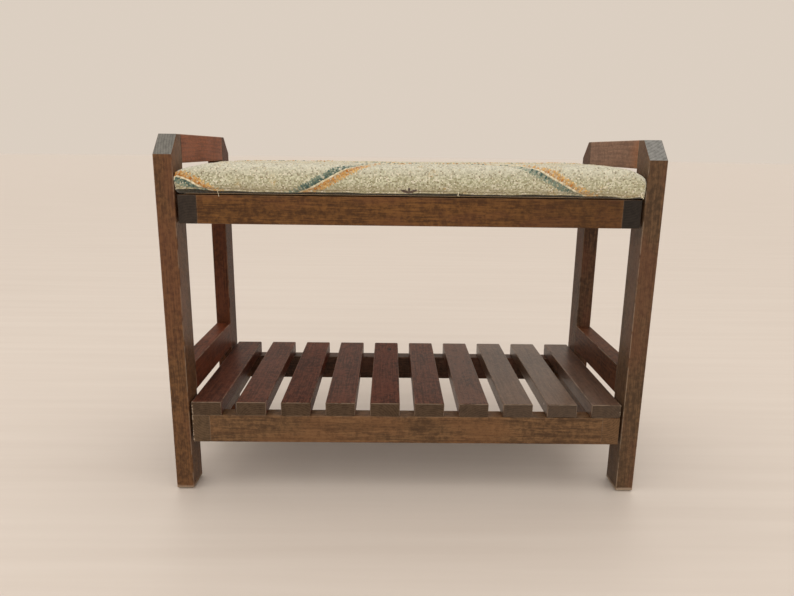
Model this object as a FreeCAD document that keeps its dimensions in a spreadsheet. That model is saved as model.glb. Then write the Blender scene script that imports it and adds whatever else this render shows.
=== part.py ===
import FreeCAD, Part
import os
import re
import Sketcher
from FreeCAD import Vector

# An entryway bench. Two end frames carry a slatted shelf frame and a seat frame between them, and a
# padded seat lies on the seat frame. Millimetres. X runs along the bench, Y from its front to its back
# and Z up. The origin is on the floor, under the middle of the bench.

SIZES = {
    # the whole bench
    "overall_width": 660,
    "overall_depth": 286,
    "overall_height": 497.5,
    "edge_round": 1.2,
    # end frames: a front leg, a rear leg, a top rail and a side stretcher, all of one thickness
    "leg_thickness": 24.5,
    "leg_breadth": 40.5,
    "leg_clip": 26,
    "foot_bevel": 3,
    "top_rail_height": 37.5,
    "stretcher_bottom": 138,
    "stretcher_height": 42.5,
    # seat frame and shelf frame: long rails between cross-rails, held off the legs by spacers
    "frame_gap": 3,
    "frame_inset": 1,
    "long_rail_thickness": 23,
    "cross_rail_thickness": 24.5,
    "seat_frame_bottom": 383.5,
    "seat_frame_height": 37.5,
    "shelf_frame_bottom": 74,
    "shelf_frame_height": 40.5,
    # slats across the shelf frame
    "slat_count": 10,
    "slat_width": 42,
    "slat_thickness": 20,
    "slat_round": 1.8,
    # dowels in the rail joints: two to a joint, one above the other, and hole depths in each member
    "dowel_diameter": 8,
    "dowel_clearance": 0.1,
    "dowel_spacing": 13.5,
    "dowel_side_hole": 17,
    "dowel_end_hole": 20,
    "dowel_end_gap": 1,
    # pins under the slats
    "pin_diameter": 6,
    "pin_clearance": 0.1,
    "pin_slat_hole": 12,
    "pin_rail_hole": 13,
    "pin_end_gap": 0.5,
    "end_pin_reach": 60,
    # assembly screws through the cross-rails and the spacers into the legs
    "screw_diameter": 5,
    "screw_head": 9.5,
    "screw_length": 45,
    "screw_point": 5,
    "screw_clearance": 0.2,
    "screw_tip_gap": 0.5,
    "screw_edge": 7,
    "screw_rise": 10,
    "spacer_diameter": 12,
    # corner blocks and the screws that hold the seat
    "block_reach": 44,
    "block_flat": 6,
    "block_thickness": 18,
    "block_drop": 2,
    "block_hole": 18,
    "board_screw_diameter": 4,
    "board_screw_head": 8,
    "board_screw_length": 29,
    # the padded seat
    "seat_side_gap": 1,
    "seat_front_inset": 2,
    "seat_edge_height": 37,
    "seat_height": 44.5,
    "seat_corner_round": 16,
    "seat_top_round": 12,
    "cover_thickness": 1.5,
    "cover_clearance": 0.1,
    "flap_width": 34,
    "board_thickness": 12,
    # staples that hold the cover under the board
    "staple_wire": 1,
    "staple_crown": 10,
    "staple_length": 8,
    "staple_clearance": 0.1,
    "staple_inset": 27,
    "long_side_staples": 9,
    "short_side_staples": 4,
    "staple_margin": 55,
}

# Places and sizes that follow from the ones above.
WORKED_OUT = {
    "leg_x": "(overall_width - leg_thickness) / 2",
    "leg_y": "(overall_depth - leg_breadth) / 2",
    "between_legs": "overall_depth - 2 * leg_breadth",
    "frame_width": "overall_width - 2 * (leg_thickness + frame_gap)",
    "frame_depth": "overall_depth - 2 * frame_inset",
    "cross_rail_x": "(frame_width - cross_rail_thickness) / 2",
    "long_rail_y": "(frame_depth - long_rail_thickness) / 2",
    "long_rail_length": "frame_width - 2 * cross_rail_thickness",
    "slat_pitch": "(frame_width - slat_width) / (slat_count - 1)",
    "first_slat_x": "(slat_width - frame_width) / 2",
    "shelf_frame_top": "shelf_frame_bottom + shelf_frame_height",
    "seat_frame_top": "seat_frame_bottom + seat_frame_height",
    "screw_y": "overall_depth / 2 - leg_breadth + screw_edge",
    "screw_hole": "screw_diameter + screw_clearance",
    "screw_x": "frame_width / 2 - cross_rail_thickness",
    "shelf_screw_rise": "shelf_frame_height / 2",
    "leg_screw_hole": "screw_length - cross_rail_thickness - frame_gap + screw_tip_gap",
    "dowel_hole": "dowel_diameter + dowel_clearance",
    "dowel_length": "dowel_side_hole + dowel_end_hole - 2 * dowel_end_gap",
    "pin_hole": "pin_diameter + pin_clearance",
    "pin_length": "pin_slat_hole + pin_rail_hole - 2 * pin_end_gap",
    "block_x": "long_rail_length / 2",
    "block_y": "frame_depth / 2 - long_rail_thickness",
    "block_bottom": "seat_frame_top - block_drop - block_thickness",
    "seat_half_width": "overall_width / 2 - leg_thickness - seat_side_gap",
    "seat_half_depth": "overall_depth / 2 - seat_front_inset",
    "crown_rise": "seat_height - seat_edge_height",
    "crown_radius": "(seat_half_depth ^ 2 + crown_rise ^ 2) / (2 * crown_rise)",
    "board_bottom": "cover_thickness + cover_clearance",
    "board_half_width": "seat_half_width - cover_thickness - cover_clearance",
    "board_half_depth": "seat_half_depth - cover_thickness - cover_clearance",
    "board_screw_hole": "board_screw_diameter + screw_clearance",
    "board_pilot": "board_screw_length - block_thickness - block_drop - board_bottom + screw_tip_gap",
    "staple_slot": "staple_wire + staple_clearance",
    "staple_leg_y": "board_half_depth - staple_inset",
    "staple_leg_x": "board_half_width - staple_inset",
    "staple_half": "(staple_crown - staple_wire) / 2",
    "long_row": "2 * (board_half_width - staple_margin)",
    "short_row": "2 * (board_half_depth - staple_margin)",
}

SIDES = {"left": -1, "right": 1}
ENDS = {"front": -1, "rear": 1}

document = FreeCAD.newDocument("entryway_bench")
sheet = document.addObject("Spreadsheet::Sheet", "Sizes")
for row, (alias, size) in enumerate(SIZES.items(), start=1):
    sheet.set(f"A{row}", alias)
    sheet.set(f"B{row}", str(size))
    sheet.setAlias(f"B{row}", alias)
document.recompute()
sub_parts = []


# --- sizes and bindings ---------------------------------------------------------------------------

def formula(text):
    """The text with every size's name written as a cell of the sheet, worked-out names spelled out."""
    def swap(match):
        word = match.group(0)
        if word in WORKED_OUT:
            return f"({formula(WORKED_OUT[word])})"
        return f"Sizes.{word}"
    return re.sub(r"[a-z]\w*", swap, str(text))


def number(text):
    return float(sheet.evalExpression(formula(text)))


def bind(thing, prop, text):
    thing.setExpression(prop, formula(text))


# --- bodies, sketches and features ----------------------------------------------------------------

def new_body(label, place=("0", "0", "0"), piece=True):
    """A body whose own origin stands at the place given. It is a piece unless it only cuts another."""
    body = document.addObject("PartDesign::Body", label)
    body.Label = label
    for axis, text in zip("xyz", place):
        bind(body, f"Placement.Base.{axis}", text)
    if piece:
        sub_parts.append(body)
    return body


def origin_feature(body, role):
    return next(feature for feature in body.Origin.OriginFeatures if feature.Role == role)


def new_sketch(body, name, plane, lift="0"):
    """A sketch on one of the body's planes, lifted along the plane's normal: -Y on XZ, +X on YZ."""
    sketch = body.newObject("Sketcher::SketchObject", f"{body.Label}_{name}")
    sketch.AttachmentSupport = (origin_feature(body, plane), [""])
    sketch.MapMode = "FlatFace"
    bind(sketch, "AttachmentOffset.Base.z", lift)
    return sketch


def measure(sketch, kind, text, *where):
    index = sketch.addConstraint(Sketcher.Constraint(kind, *where, number(text)))
    bind(sketch, f"Constraints[{index}]", text)


def place_point(sketch, geometry, point, place):
    """Hold a point at its place, on a sketch axis where a coordinate is 0."""
    for kind, axis, text in zip(("DistanceX", "DistanceY"), (-2, -1), place):
        if text == "0":
            sketch.addConstraint(Sketcher.Constraint("PointOnObject", geometry, point, axis))
        else:
            measure(sketch, kind, text, -1, 1, geometry, point)


def add_outline(sketch, corners):
    """A closed outline of straight lines through the corners."""
    points = [Vector(number(x), number(y), 0) for x, y in corners]
    first = len(sketch.Geometry)
    for start, end in zip(points, points[1:] + points[:1]):
        sketch.addGeometry(Part.LineSegment(start, end), False)
    for step, corner in enumerate(corners):
        following = first + (step + 1) % len(corners)
        sketch.addConstraint(Sketcher.Constraint("Coincident", first + step, 2, following, 1))
        place_point(sketch, first + step, 1, corner)


def add_rectangle(sketch, width, height, centre=("0", "0")):
    x, y = centre
    add_outline(sketch, [
        (f"{x} - ({width}) / 2", f"{y} - ({height}) / 2"),
        (f"{x} + ({width}) / 2", f"{y} - ({height}) / 2"),
        (f"{x} + ({width}) / 2", f"{y} + ({height}) / 2"),
        (f"{x} - ({width}) / 2", f"{y} + ({height}) / 2"),
    ])


def add_circles(sketch, diameter, centres):
    for centre in centres:
        middle = Vector(number(centre[0]), number(centre[1]), 0)
        circle = Part.Circle(middle, Vector(0, 0, 1), number(diameter) / 2)
        index = sketch.addGeometry(circle, False)
        place_point(sketch, index, 3, centre)
        measure(sketch, "Diameter", diameter, index)


def pad(body, sketch, length, symmetric=False, reverse=False):
    feature = body.newObject("PartDesign::Pad", f"{sketch.Name}_pad")
    feature.Profile = sketch
    feature.SideType = "Symmetric" if symmetric else "One side"
    feature.Reversed = reverse
    bind(feature, "Length", length)
    document.recompute()
    return feature


def pocket(body, sketch, depth, reverse=False):
    """A cut against the sketch's normal, or along it when reversed, which has to remove material."""
    document.recompute()
    volume = body.Shape.Volume
    feature = body.newObject("PartDesign::Pocket", f"{sketch.Name}_pocket")
    feature.Profile = sketch
    feature.Reversed = reverse
    bind(feature, "Length", depth)
    document.recompute()
    if body.Shape.Volume > volume - 1:
        raise RuntimeError(f"{feature.Name} cuts nothing")
    return feature


def mirror(body, features, plane):
    copy = body.newObject("PartDesign::Mirrored", f"{features[0].Name}_mirrored")
    copy.Originals = features
    copy.MirrorPlane = (origin_feature(body, plane), [""])
    body.Tip = copy
    return copy


def repeat(body, feature, axis, length, count):
    """Copies of a feature in a row along one of the body's axes, the row's ends this length apart."""
    row = body.newObject("PartDesign::LinearPattern", f"{feature.Name}_row")
    row.Originals = [feature]
    row.Direction = (origin_feature(body, axis), [""])
    bind(row, "Length", length)
    bind(row, "Occurrences", count)
    body.Tip = row
    return row


def edge_names(feature, wanted):
    return [f"Edge{index}" for index, edge in enumerate(feature.Shape.Edges, start=1) if wanted(edge)]


def along(axis):
    """True for a straight edge that runs along the axis, an index of X, Y or Z."""
    def wanted(edge):
        ends = [vertex.Point for vertex in edge.Vertexes]
        return len(ends) == 2 and abs(abs((ends[1] - ends[0])[axis]) - edge.Length) < 0.001
    return wanted


def round_edges(body, feature, radius, wanted):
    fillet = body.newObject("PartDesign::Fillet", f"{feature.Name}_round")
    fillet.Base = (feature, edge_names(feature, wanted))
    bind(fillet, "Radius", radius)
    document.recompute()
    return fillet


def bevel_edges(body, feature, size, wanted):
    chamfer = body.newObject("PartDesign::Chamfer", f"{feature.Name}_bevel")
    chamfer.Base = (feature, edge_names(feature, wanted))
    bind(chamfer, "Size", size)
    document.recompute()
    return chamfer


def countersunk_holes(body, sketch, diameter, head, reverse=False):
    """Through holes for countersunk screws, whose mouths are on the sketch."""
    document.recompute()
    volume = body.Shape.Volume
    hole = body.newObject("PartDesign::Hole", f"{sketch.Name}_hole")
    hole.Profile = sketch
    hole.DepthType = "ThroughAll"
    hole.Reversed = reverse
    bind(hole, "Diameter", diameter)
    hole.HoleCutType = "Countersink"
    hole.HoleCutCustomValues = True
    hole.HoleCutCountersinkAngle = 90
    bind(hole, "HoleCutDiameter", head)
    document.recompute()
    if body.Shape.Volume > volume - 1:
        raise RuntimeError(f"{hole.Name} cuts nothing")
    return hole


# --- end frames -----------------------------------------------------------------------------------

def dowel_heights(bottom, height):
    """The two dowels of a joint, evenly above and below the middle of the rail."""
    return [f"{bottom} + ({height} {sign} dowel_spacing) / 2" for sign in "-+"]


TOP_RAIL_DOWELS = dowel_heights("overall_height - top_rail_height", "top_rail_height")
STRETCHER_DOWELS = dowel_heights("stretcher_bottom", "stretcher_height")


def make_leg(side_name, end_name):
    """A board on end, whose outer corner at the top is clipped at 45 degrees."""
    side, end = SIDES[side_name], ENDS[end_name]
    leg = new_body(f"{side_name}_{end_name}_leg", (f"{side} * leg_x", f"{end} * leg_y", "0"))
    outer, inner = f"{end} * leg_breadth / 2", f"{-end} * leg_breadth / 2"
    profile = new_sketch(leg, "profile", "YZ_Plane")
    add_outline(profile, [
        (outer, "0"),
        (inner, "0"),
        (inner, "overall_height"),
        (f"{end} * (leg_breadth / 2 - leg_clip)", "overall_height"),
        (outer, "overall_height - leg_clip"),
    ])
    board = pad(leg, profile, "leg_thickness", symmetric=True)
    foot = bevel_edges(leg, board, "foot_bevel", lambda edge: edge.BoundBox.ZMax < 0.001)
    round_edges(leg, foot, "edge_round", lambda edge: edge.BoundBox.ZMax > number("foot_bevel") + 0.001)

    rail_dowels = new_sketch(leg, "dowel_holes", "XZ_Plane", f"{end} * leg_breadth / 2")
    add_circles(rail_dowels, "dowel_hole", [("0", rise) for rise in TOP_RAIL_DOWELS + STRETCHER_DOWELS])
    pocket(leg, rail_dowels, "dowel_side_hole", reverse=end < 0)

    frame_screws = new_sketch(leg, "screw_holes", "YZ_Plane", f"{-side} * leg_thickness / 2")
    from_middle = f"{-end} * (leg_breadth / 2 - screw_edge)"
    add_circles(frame_screws, "screw_hole", [
        (from_middle, "seat_frame_bottom + screw_rise"),
        (from_middle, "shelf_frame_bottom + shelf_screw_rise"),
    ])
    pocket(leg, frame_screws, "leg_screw_hole", reverse=side > 0)


def make_end_rail(side_name, name, bottom, height):
    """A rail between the two legs of an end frame, in line with both their faces."""
    rail = new_body(f"{side_name}_{name}", (f"{SIDES[side_name]} * leg_x", "0", bottom))
    section = new_sketch(rail, "section", "XZ_Plane")
    add_rectangle(section, "leg_thickness", height, ("0", f"{height} / 2"))
    board = pad(rail, section, "between_legs", symmetric=True)
    round_edges(rail, board, "edge_round", along(1))
    holes = new_sketch(rail, "dowel_holes", "XZ_Plane", "between_legs / 2")
    add_circles(holes, "dowel_hole", [("0", rise) for rise in dowel_heights("0", height)])
    mirror(rail, [pocket(rail, holes, "dowel_end_hole")], "XZ_Plane")


def make_end_dowels(side_name):
    """Two dowels in each of the four joints of an end frame."""
    dowels = new_body(f"{side_name}_end_dowels", (f"{SIDES[side_name]} * leg_x", "0", "0"))
    ends = new_sketch(dowels, "section", "XZ_Plane", "between_legs / 2 + dowel_side_hole - dowel_end_gap")
    add_circles(ends, "dowel_diameter", [("0", rise) for rise in TOP_RAIL_DOWELS + STRETCHER_DOWELS])
    mirror(dowels, [pad(dowels, ends, "dowel_length", reverse=True)], "XZ_Plane")


# --- seat frame and shelf frame -------------------------------------------------------------------

def make_long_rail(frame, end_name):
    """The front or rear rail of a frame, between its cross-rails."""
    height = f"{frame}_frame_height"
    place = ("0", f"{ENDS[end_name]} * long_rail_y", f"{frame}_frame_bottom")
    rail = new_body(f"{frame}_{end_name}_rail", place)
    section = new_sketch(rail, "section", "YZ_Plane")
    add_rectangle(section, "long_rail_thickness", height, ("0", f"{height} / 2"))
    board = pad(rail, section, "long_rail_length", symmetric=True)
    round_edges(rail, board, "edge_round", along(0))
    holes = new_sketch(rail, "dowel_holes", "YZ_Plane", "long_rail_length / 2")
    add_circles(holes, "dowel_hole", [("0", rise) for rise in dowel_heights("0", height)])
    mirror(rail, [pocket(rail, holes, "dowel_end_hole")], "YZ_Plane")
    if frame == "shelf":
        pins = new_sketch(rail, "pin_holes", "XY_Plane", height)
        add_circles(pins, "pin_hole", [("first_slat_x + slat_pitch", "0")])
        hole = pocket(rail, pins, "pin_rail_hole")
        repeat(rail, hole, "X_Axis", "(slat_count - 3) * slat_pitch", "slat_count - 2")


def make_cross_rail(frame, side_name):
    """The left or right rail of a frame. Its ends show at the front and the back."""
    side = SIDES[side_name]
    height = f"{frame}_frame_height"
    place = (f"{side} * cross_rail_x", "0", f"{frame}_frame_bottom")
    rail = new_body(f"{frame}_{side_name}_cross_rail", place)
    section = new_sketch(rail, "section", "XZ_Plane")
    add_rectangle(section, "cross_rail_thickness", height, ("0", f"{height} / 2"))
    board = pad(rail, section, "frame_depth", symmetric=True)
    round_edges(rail, board, "edge_round", lambda edge: True)

    inner_face = f"{-side} * cross_rail_thickness / 2"
    dowels = new_sketch(rail, "dowel_holes", "YZ_Plane", inner_face)
    rises = dowel_heights("0", height)
    add_circles(dowels, "dowel_hole", [(f"{end} * long_rail_y", rise) for end in (-1, 1) for rise in rises])
    pocket(rail, dowels, "dowel_side_hole", reverse=side > 0)

    screws = new_sketch(rail, "screw_holes", "YZ_Plane", inner_face)
    rise = "screw_rise" if frame == "seat" else "shelf_screw_rise"
    add_circles(screws, "screw_hole", [(f"{end} * screw_y", rise) for end in (-1, 1)])
    head = "screw_head + screw_clearance"
    countersunk_holes(rail, screws, "screw_hole", head, reverse=side > 0)
    if frame == "shelf":
        pins = new_sketch(rail, "pin_holes", "XY_Plane", height)
        add_circles(pins, "pin_hole", [("0", f"{end} * end_pin_reach") for end in (-1, 1)])
        pocket(rail, pins, "pin_rail_hole")


def make_frame_dowels(frame):
    """Two dowels in each of the four corners of a frame."""
    dowels = new_body(f"{frame}_frame_dowels", ("0", "0", f"{frame}_frame_bottom"))
    ends = new_sketch(dowels, "section", "YZ_Plane", "long_rail_length / 2 + dowel_side_hole - dowel_end_gap")
    rises = dowel_heights("0", f"{frame}_frame_height")
    add_circles(ends, "dowel_diameter", [(f"{end} * long_rail_y", rise) for end in (-1, 1) for rise in rises])
    mirror(dowels, [pad(dowels, ends, "dowel_length", reverse=True)], "YZ_Plane")


def make_frame_screws(frame, rise):
    """Countersunk screws that draw a frame up to the four legs, one in each."""
    screws = new_body(f"{frame}_frame_screws", ("0", "0", f"{frame}_frame_bottom + {rise}"))
    head_depth = "(screw_head - screw_diameter) / 2"
    turned_pair = []
    for end_name, end in ENDS.items():
        half = new_sketch(screws, f"{end_name}_profile", "XZ_Plane", f"{-end} * screw_y")
        add_outline(half, [
            ("screw_x", "0"),
            ("screw_x", "screw_head / 2"),
            (f"screw_x + {head_depth}", "screw_diameter / 2"),
            ("screw_x + screw_length - screw_point", "screw_diameter / 2"),
            ("screw_x + screw_length", "0"),
        ])
        turned = screws.newObject("PartDesign::Revolution", f"{half.Name}_turned")
        turned.Profile = half
        turned.ReferenceAxis = (half, ["H_Axis"])
        turned.Angle = 360
        document.recompute()
        turned_pair.append(turned)
    mirror(screws, turned_pair, "YZ_Plane")


def make_frame_spacers(frame, rise):
    """Round washers on the screws, between a frame and the legs."""
    spacers = new_body(f"{frame}_frame_spacers", ("0", "0", f"{frame}_frame_bottom + {rise}"))
    rings = new_sketch(spacers, "rings", "YZ_Plane", "frame_width / 2")
    centres = [(f"{end} * screw_y", "0") for end in (-1, 1)]
    add_circles(rings, "spacer_diameter", centres)
    add_circles(rings, "screw_hole", centres)
    mirror(spacers, [pad(spacers, rings, "frame_gap")], "YZ_Plane")


# --- shelf slats ----------------------------------------------------------------------------------

def make_slat(index):
    """One slat, from the front face of the shelf frame to its rear face, counted from the left."""
    last = int(number("slat_count")) - 1
    place = (f"first_slat_x + {index} * slat_pitch", "0", "shelf_frame_top")
    slat = new_body(f"shelf_slat_{index + 1:02d}", place)
    section = new_sketch(slat, "section", "XZ_Plane")
    add_rectangle(section, "slat_width", "slat_thickness", ("0", "slat_thickness / 2"))
    board = pad(slat, section, "frame_depth", symmetric=True)
    round_edges(slat, board, "slat_round", lambda edge: True)
    pins = new_sketch(slat, "pin_holes", "XY_Plane")
    if index in (0, last):
        outward = -1 if index == 0 else 1
        over_cross_rail = f"{outward} * (slat_width - cross_rail_thickness) / 2"
        centres = [(over_cross_rail, f"{end} * end_pin_reach") for end in (-1, 1)]
    else:
        centres = [("0", f"{end} * long_rail_y") for end in (-1, 1)]
    add_circles(pins, "pin_hole", centres)
    pocket(slat, pins, "pin_slat_hole", reverse=True)


def make_slat_pins():
    """Two pins under each slat: into the long rails, or into a cross-rail under the end slats."""
    pins = new_body("slat_pins", ("0", "0", "shelf_frame_top"))
    bottom = "pin_end_gap - pin_rail_hole"
    inner = new_sketch(pins, "inner_slats", "XY_Plane", bottom)
    second_slat = [("first_slat_x + slat_pitch", f"{end} * long_rail_y") for end in (-1, 1)]
    add_circles(inner, "pin_diameter", second_slat)
    row = pad(pins, inner, "pin_length")
    repeat(pins, row, "X_Axis", "(slat_count - 3) * slat_pitch", "slat_count - 2")
    outer = new_sketch(pins, "end_slats", "XY_Plane", bottom)
    corners = [(f"{side} * cross_rail_x", f"{end} * end_pin_reach") for side in (-1, 1) for end in (-1, 1)]
    add_circles(outer, "pin_diameter", corners)
    pad(pins, outer, "pin_length")


# --- seat -----------------------------------------------------------------------------------------

def make_corner_block(side_name, end_name):
    """A glued block in a corner of the seat frame, with a hole for the screw that holds the seat."""
    side, end = SIDES[side_name], ENDS[end_name]
    place = (f"{side} * block_x", f"{end} * block_y", "block_bottom")
    block = new_body(f"{side_name}_{end_name}_corner_block", place)
    shape = new_sketch(block, "outline", "XY_Plane")
    across, inward = f"{-side}", f"{-end}"
    add_outline(shape, [
        ("0", "0"),
        (f"{across} * block_reach", "0"),
        (f"{across} * block_reach", f"{inward} * block_flat"),
        (f"{across} * block_flat", f"{inward} * block_reach"),
        ("0", f"{inward} * block_reach"),
    ])
    pad(block, shape, "block_thickness")
    hole = new_sketch(block, "screw_hole", "XY_Plane")
    add_circles(hole, "board_screw_hole", [(f"{across} * block_hole", f"{inward} * block_hole")])
    countersunk_holes(block, hole, "board_screw_hole", "board_screw_head + screw_clearance", reverse=True)


def seat_screw_places():
    return [(f"{side} * (block_x - block_hole)", f"{end} * (block_y - block_hole)")
            for side in (-1, 1) for end in (-1, 1)]


def make_board_screws():
    """Countersunk screws up through the corner blocks into the seat board."""
    screws = new_body("seat_board_screws", ("0", "0", "block_bottom"))
    half = new_sketch(screws, "profile", "XZ_Plane", "block_y - block_hole")
    axis_x = "(block_x - block_hole)"
    add_outline(half, [
        (axis_x, "0"),
        (f"{axis_x} + board_screw_head / 2", "0"),
        (f"{axis_x} + board_screw_diameter / 2", "(board_screw_head - board_screw_diameter) / 2"),
        (f"{axis_x} + board_screw_diameter / 2", "board_screw_length - screw_point"),
        (axis_x, "board_screw_length"),
    ])
    turned = screws.newObject("PartDesign::Revolution", "seat_board_screws_turned")
    turned.Profile = half
    turned.ReferenceAxis = (half, ["Edge5"])
    turned.Angle = 360
    document.recompute()
    across = screws.newObject("PartDesign::Mirrored", "seat_board_screws_across")
    across.MirrorPlane = (origin_feature(screws, "YZ_Plane"), [""])
    through = screws.newObject("PartDesign::Mirrored", "seat_board_screws_through")
    through.MirrorPlane = (origin_feature(screws, "XZ_Plane"), [""])
    corners = screws.newObject("PartDesign::MultiTransform", "seat_board_screws_corners")
    corners.Originals = [turned]
    corners.Transformations = [across, through]
    screws.Tip = corners


def staple_feet(sketch, wire, along_x):
    """The sections of one staple's two legs, at the start of a row on each of two opposite sides."""
    for outward in (-1, 1):
        for step in (-1, 1):
            if along_x:
                centre = (f"-long_row / 2 + {step} * staple_half", f"{outward} * staple_leg_y")
            else:
                centre = (f"{outward} * staple_leg_x", f"-short_row / 2 + {step} * staple_half")
            add_rectangle(sketch, wire, wire, centre)


def staple_row(body, feature, along_x):
    if along_x:
        return repeat(body, feature, "X_Axis", "long_row", "long_side_staples")
    return repeat(body, feature, "Y_Axis", "short_row", "short_side_staples")


def cut_staple_slots(body, depth, lift="0"):
    for along_x in (True, False):
        slots = new_sketch(body, f"slots_{'long' if along_x else 'short'}", "XY_Plane", lift)
        staple_feet(slots, "staple_slot", along_x)
        staple_row(body, pocket(body, slots, depth, reverse=True), along_x)


def make_staples():
    """Staples through the cover's flap into the board, their crowns below the flap."""
    staples = new_body("cover_staples", ("0", "0", "seat_frame_top - staple_wire"))
    for along_x in (True, False):
        name = "long" if along_x else "short"
        crowns = new_sketch(staples, f"crowns_{name}", "XY_Plane")
        for outward in (-1, 1):
            if along_x:
                centre = ("-long_row / 2", f"{outward} * staple_leg_y")
                add_rectangle(crowns, "staple_crown", "staple_wire", centre)
            else:
                centre = (f"{outward} * staple_leg_x", "-short_row / 2")
                add_rectangle(crowns, "staple_wire", "staple_crown", centre)
        staple_row(staples, pad(staples, crowns, "staple_wire"), along_x)
        legs = new_sketch(staples, f"legs_{name}", "XY_Plane")
        staple_feet(legs, "staple_wire", along_x)
        staple_row(staples, pad(staples, legs, "staple_length"), along_x)


def padded_solid(body, inset, bottom):
    """A crowned block, its faces this far inside the outside of the seat's cover."""
    half_depth = f"(seat_half_depth - {inset})"
    radius = f"crown_radius - {inset}"
    centre_height = "(seat_height - crown_radius)"
    section = new_sketch(body, "section", "YZ_Plane")
    reach, low = number(half_depth), number(bottom)
    high = number(centre_height) + (number(radius) ** 2 - reach ** 2) ** 0.5
    corners = [Vector(-reach, high, 0), Vector(-reach, low, 0), Vector(reach, low, 0), Vector(reach, high, 0)]
    for start, end in zip(corners, corners[1:]):
        section.addGeometry(Part.LineSegment(start, end), False)
    top = Vector(0, number(f"seat_height - {inset}"), 0)
    crown = section.addGeometry(Part.Arc(corners[3], top, corners[0]), False)
    for line in (0, 1):
        section.addConstraint(Sketcher.Constraint("Coincident", line, 2, line + 1, 1))
    section.addConstraint(Sketcher.Constraint("Coincident", 2, 2, crown, 1))
    section.addConstraint(Sketcher.Constraint("Coincident", crown, 2, 0, 1))
    for line in (0, 2):
        section.addConstraint(Sketcher.Constraint("Vertical", line))
    place_point(section, 1, 1, (f"-{half_depth}", bottom))
    place_point(section, 1, 2, (half_depth, bottom))
    section.addConstraint(Sketcher.Constraint("PointOnObject", crown, 3, -2))
    measure(section, "Radius", radius, crown)
    measure(section, "DistanceY", centre_height, -1, 1, crown, 3)
    block = pad(body, section, f"2 * (seat_half_width - {inset})", symmetric=True)
    corners_rounded = round_edges(body, block, f"seat_corner_round - {inset}", along(2))
    low_limit = number(bottom) + 1
    above = lambda edge: edge.BoundBox.ZMin > low_limit
    return round_edges(body, corners_rounded, f"seat_top_round - {inset}", above)


def make_seat_board():
    """The plywood board under the foam."""
    board = new_body("seat_board", ("0", "0", "seat_frame_top + board_bottom"))
    shape = new_sketch(board, "outline", "XY_Plane")
    add_rectangle(shape, "2 * board_half_width", "2 * board_half_depth")
    sheet_of_ply = pad(board, shape, "board_thickness")
    round_edges(board, sheet_of_ply, "seat_corner_round - board_bottom", along(2))
    pilots = new_sketch(board, "screw_pilots", "XY_Plane")
    add_circles(pilots, "board_screw_hole", seat_screw_places())
    pocket(board, pilots, "board_pilot", reverse=True)
    cut_staple_slots(board, "staple_length - staple_wire - board_bottom + staple_clearance")


def make_seat_foam():
    foam = new_body("seat_foam", ("0", "0", "seat_frame_top"))
    padded_solid(foam, "board_bottom", "(board_bottom + board_thickness)")


def make_seat_cover():
    """The fabric cover: over the foam, down the sides, and turned in under the board as a flap."""
    # A cutting body is read in the frame of the body that it cuts, so it stands at that body's origin.
    inside = new_body("inside_of_cover", piece=False)
    padded_solid(inside, "cover_thickness", "-cover_thickness")
    cover = new_body("seat_cover", ("0", "0", "seat_frame_top"))
    padded_solid(cover, "0", "0")
    hollow = cover.newObject("PartDesign::Boolean", "seat_cover_hollow")
    hollow.Type = "Cut"
    hollow.addObject(inside)
    document.recompute()
    if cover.Shape.Volume > 0.5 * inside.Shape.Volume:
        raise RuntimeError("the cover is not hollow")

    # The flap's outer edge runs in the middle of the cover's wall, cut across at each rounded corner.
    side_reach = "(seat_half_width - cover_thickness / 2)"
    front_reach = "(seat_half_depth - cover_thickness / 2)"
    corner = "(seat_corner_round - cover_thickness / 2) * (2 - 2 ^ 0.5)"
    flap = new_sketch(cover, "flap", "XY_Plane")
    add_outline(flap, [
        (f"{side} * ({side_reach} - {cut_x})", f"{end} * ({front_reach} - {cut_y})")
        for side, end, cut_x, cut_y in (
            (-1, -1, "0", corner), (-1, -1, corner, "0"), (1, -1, corner, "0"), (1, -1, "0", corner),
            (1, 1, "0", corner), (1, 1, corner, "0"), (-1, 1, corner, "0"), (-1, 1, "0", corner),
        )
    ])
    add_rectangle(flap, "2 * (board_half_width - flap_width)", "2 * (board_half_depth - flap_width)")
    pad(cover, flap, "cover_thickness")
    cut_staple_slots(cover, "cover_thickness")


# --- the bench ------------------------------------------------------------------------------------

for side_name in SIDES:
    for end_name in ENDS:
        make_leg(side_name, end_name)
    make_end_rail(side_name, "top_rail", "overall_height - top_rail_height", "top_rail_height")
    make_end_rail(side_name, "side_stretcher", "stretcher_bottom", "stretcher_height")
    make_end_dowels(side_name)
for frame, rise in (("seat", "screw_rise"), ("shelf", "shelf_screw_rise")):
    for end_name in ENDS:
        make_long_rail(frame, end_name)
    for side_name in SIDES:
        make_cross_rail(frame, side_name)
    make_frame_dowels(frame)
    make_frame_screws(frame, rise)
    make_frame_spacers(frame, rise)
for index in range(int(number("slat_count"))):
    make_slat(index)
make_slat_pins()
for side_name in SIDES:
    for end_name in ENDS:
        make_corner_block(side_name, end_name)
make_board_screws()
make_seat_board()
make_seat_foam()
make_seat_cover()
make_staples()
document.recompute()

# --- checks and files -----------------------------------------------------------------------------

for item in document.Objects:
    if "Invalid" in item.State or "Error" in item.State:
        raise RuntimeError(f"{item.Label} is in state {item.State}")
for body in sub_parts:
    if body.Shape.isNull() or not body.Shape.isValid() or not body.Shape.Solids:
        raise RuntimeError(f"{body.Label} has no sound shape")

os.makedirs("parts", exist_ok=True)
for body in sub_parts:
    body.Shape.exportStep(f"parts/{body.Label}.step")
print(f"{len(sub_parts)} sub-parts written")
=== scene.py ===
"""Entryway bench: the looks. Stained boards, woven seat cover with its stitched bands, studio and camera."""

import math

import bpy
import numpy as np
from mathutils import Matrix, Vector
from mathutils.bvhtree import BVHTree


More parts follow.
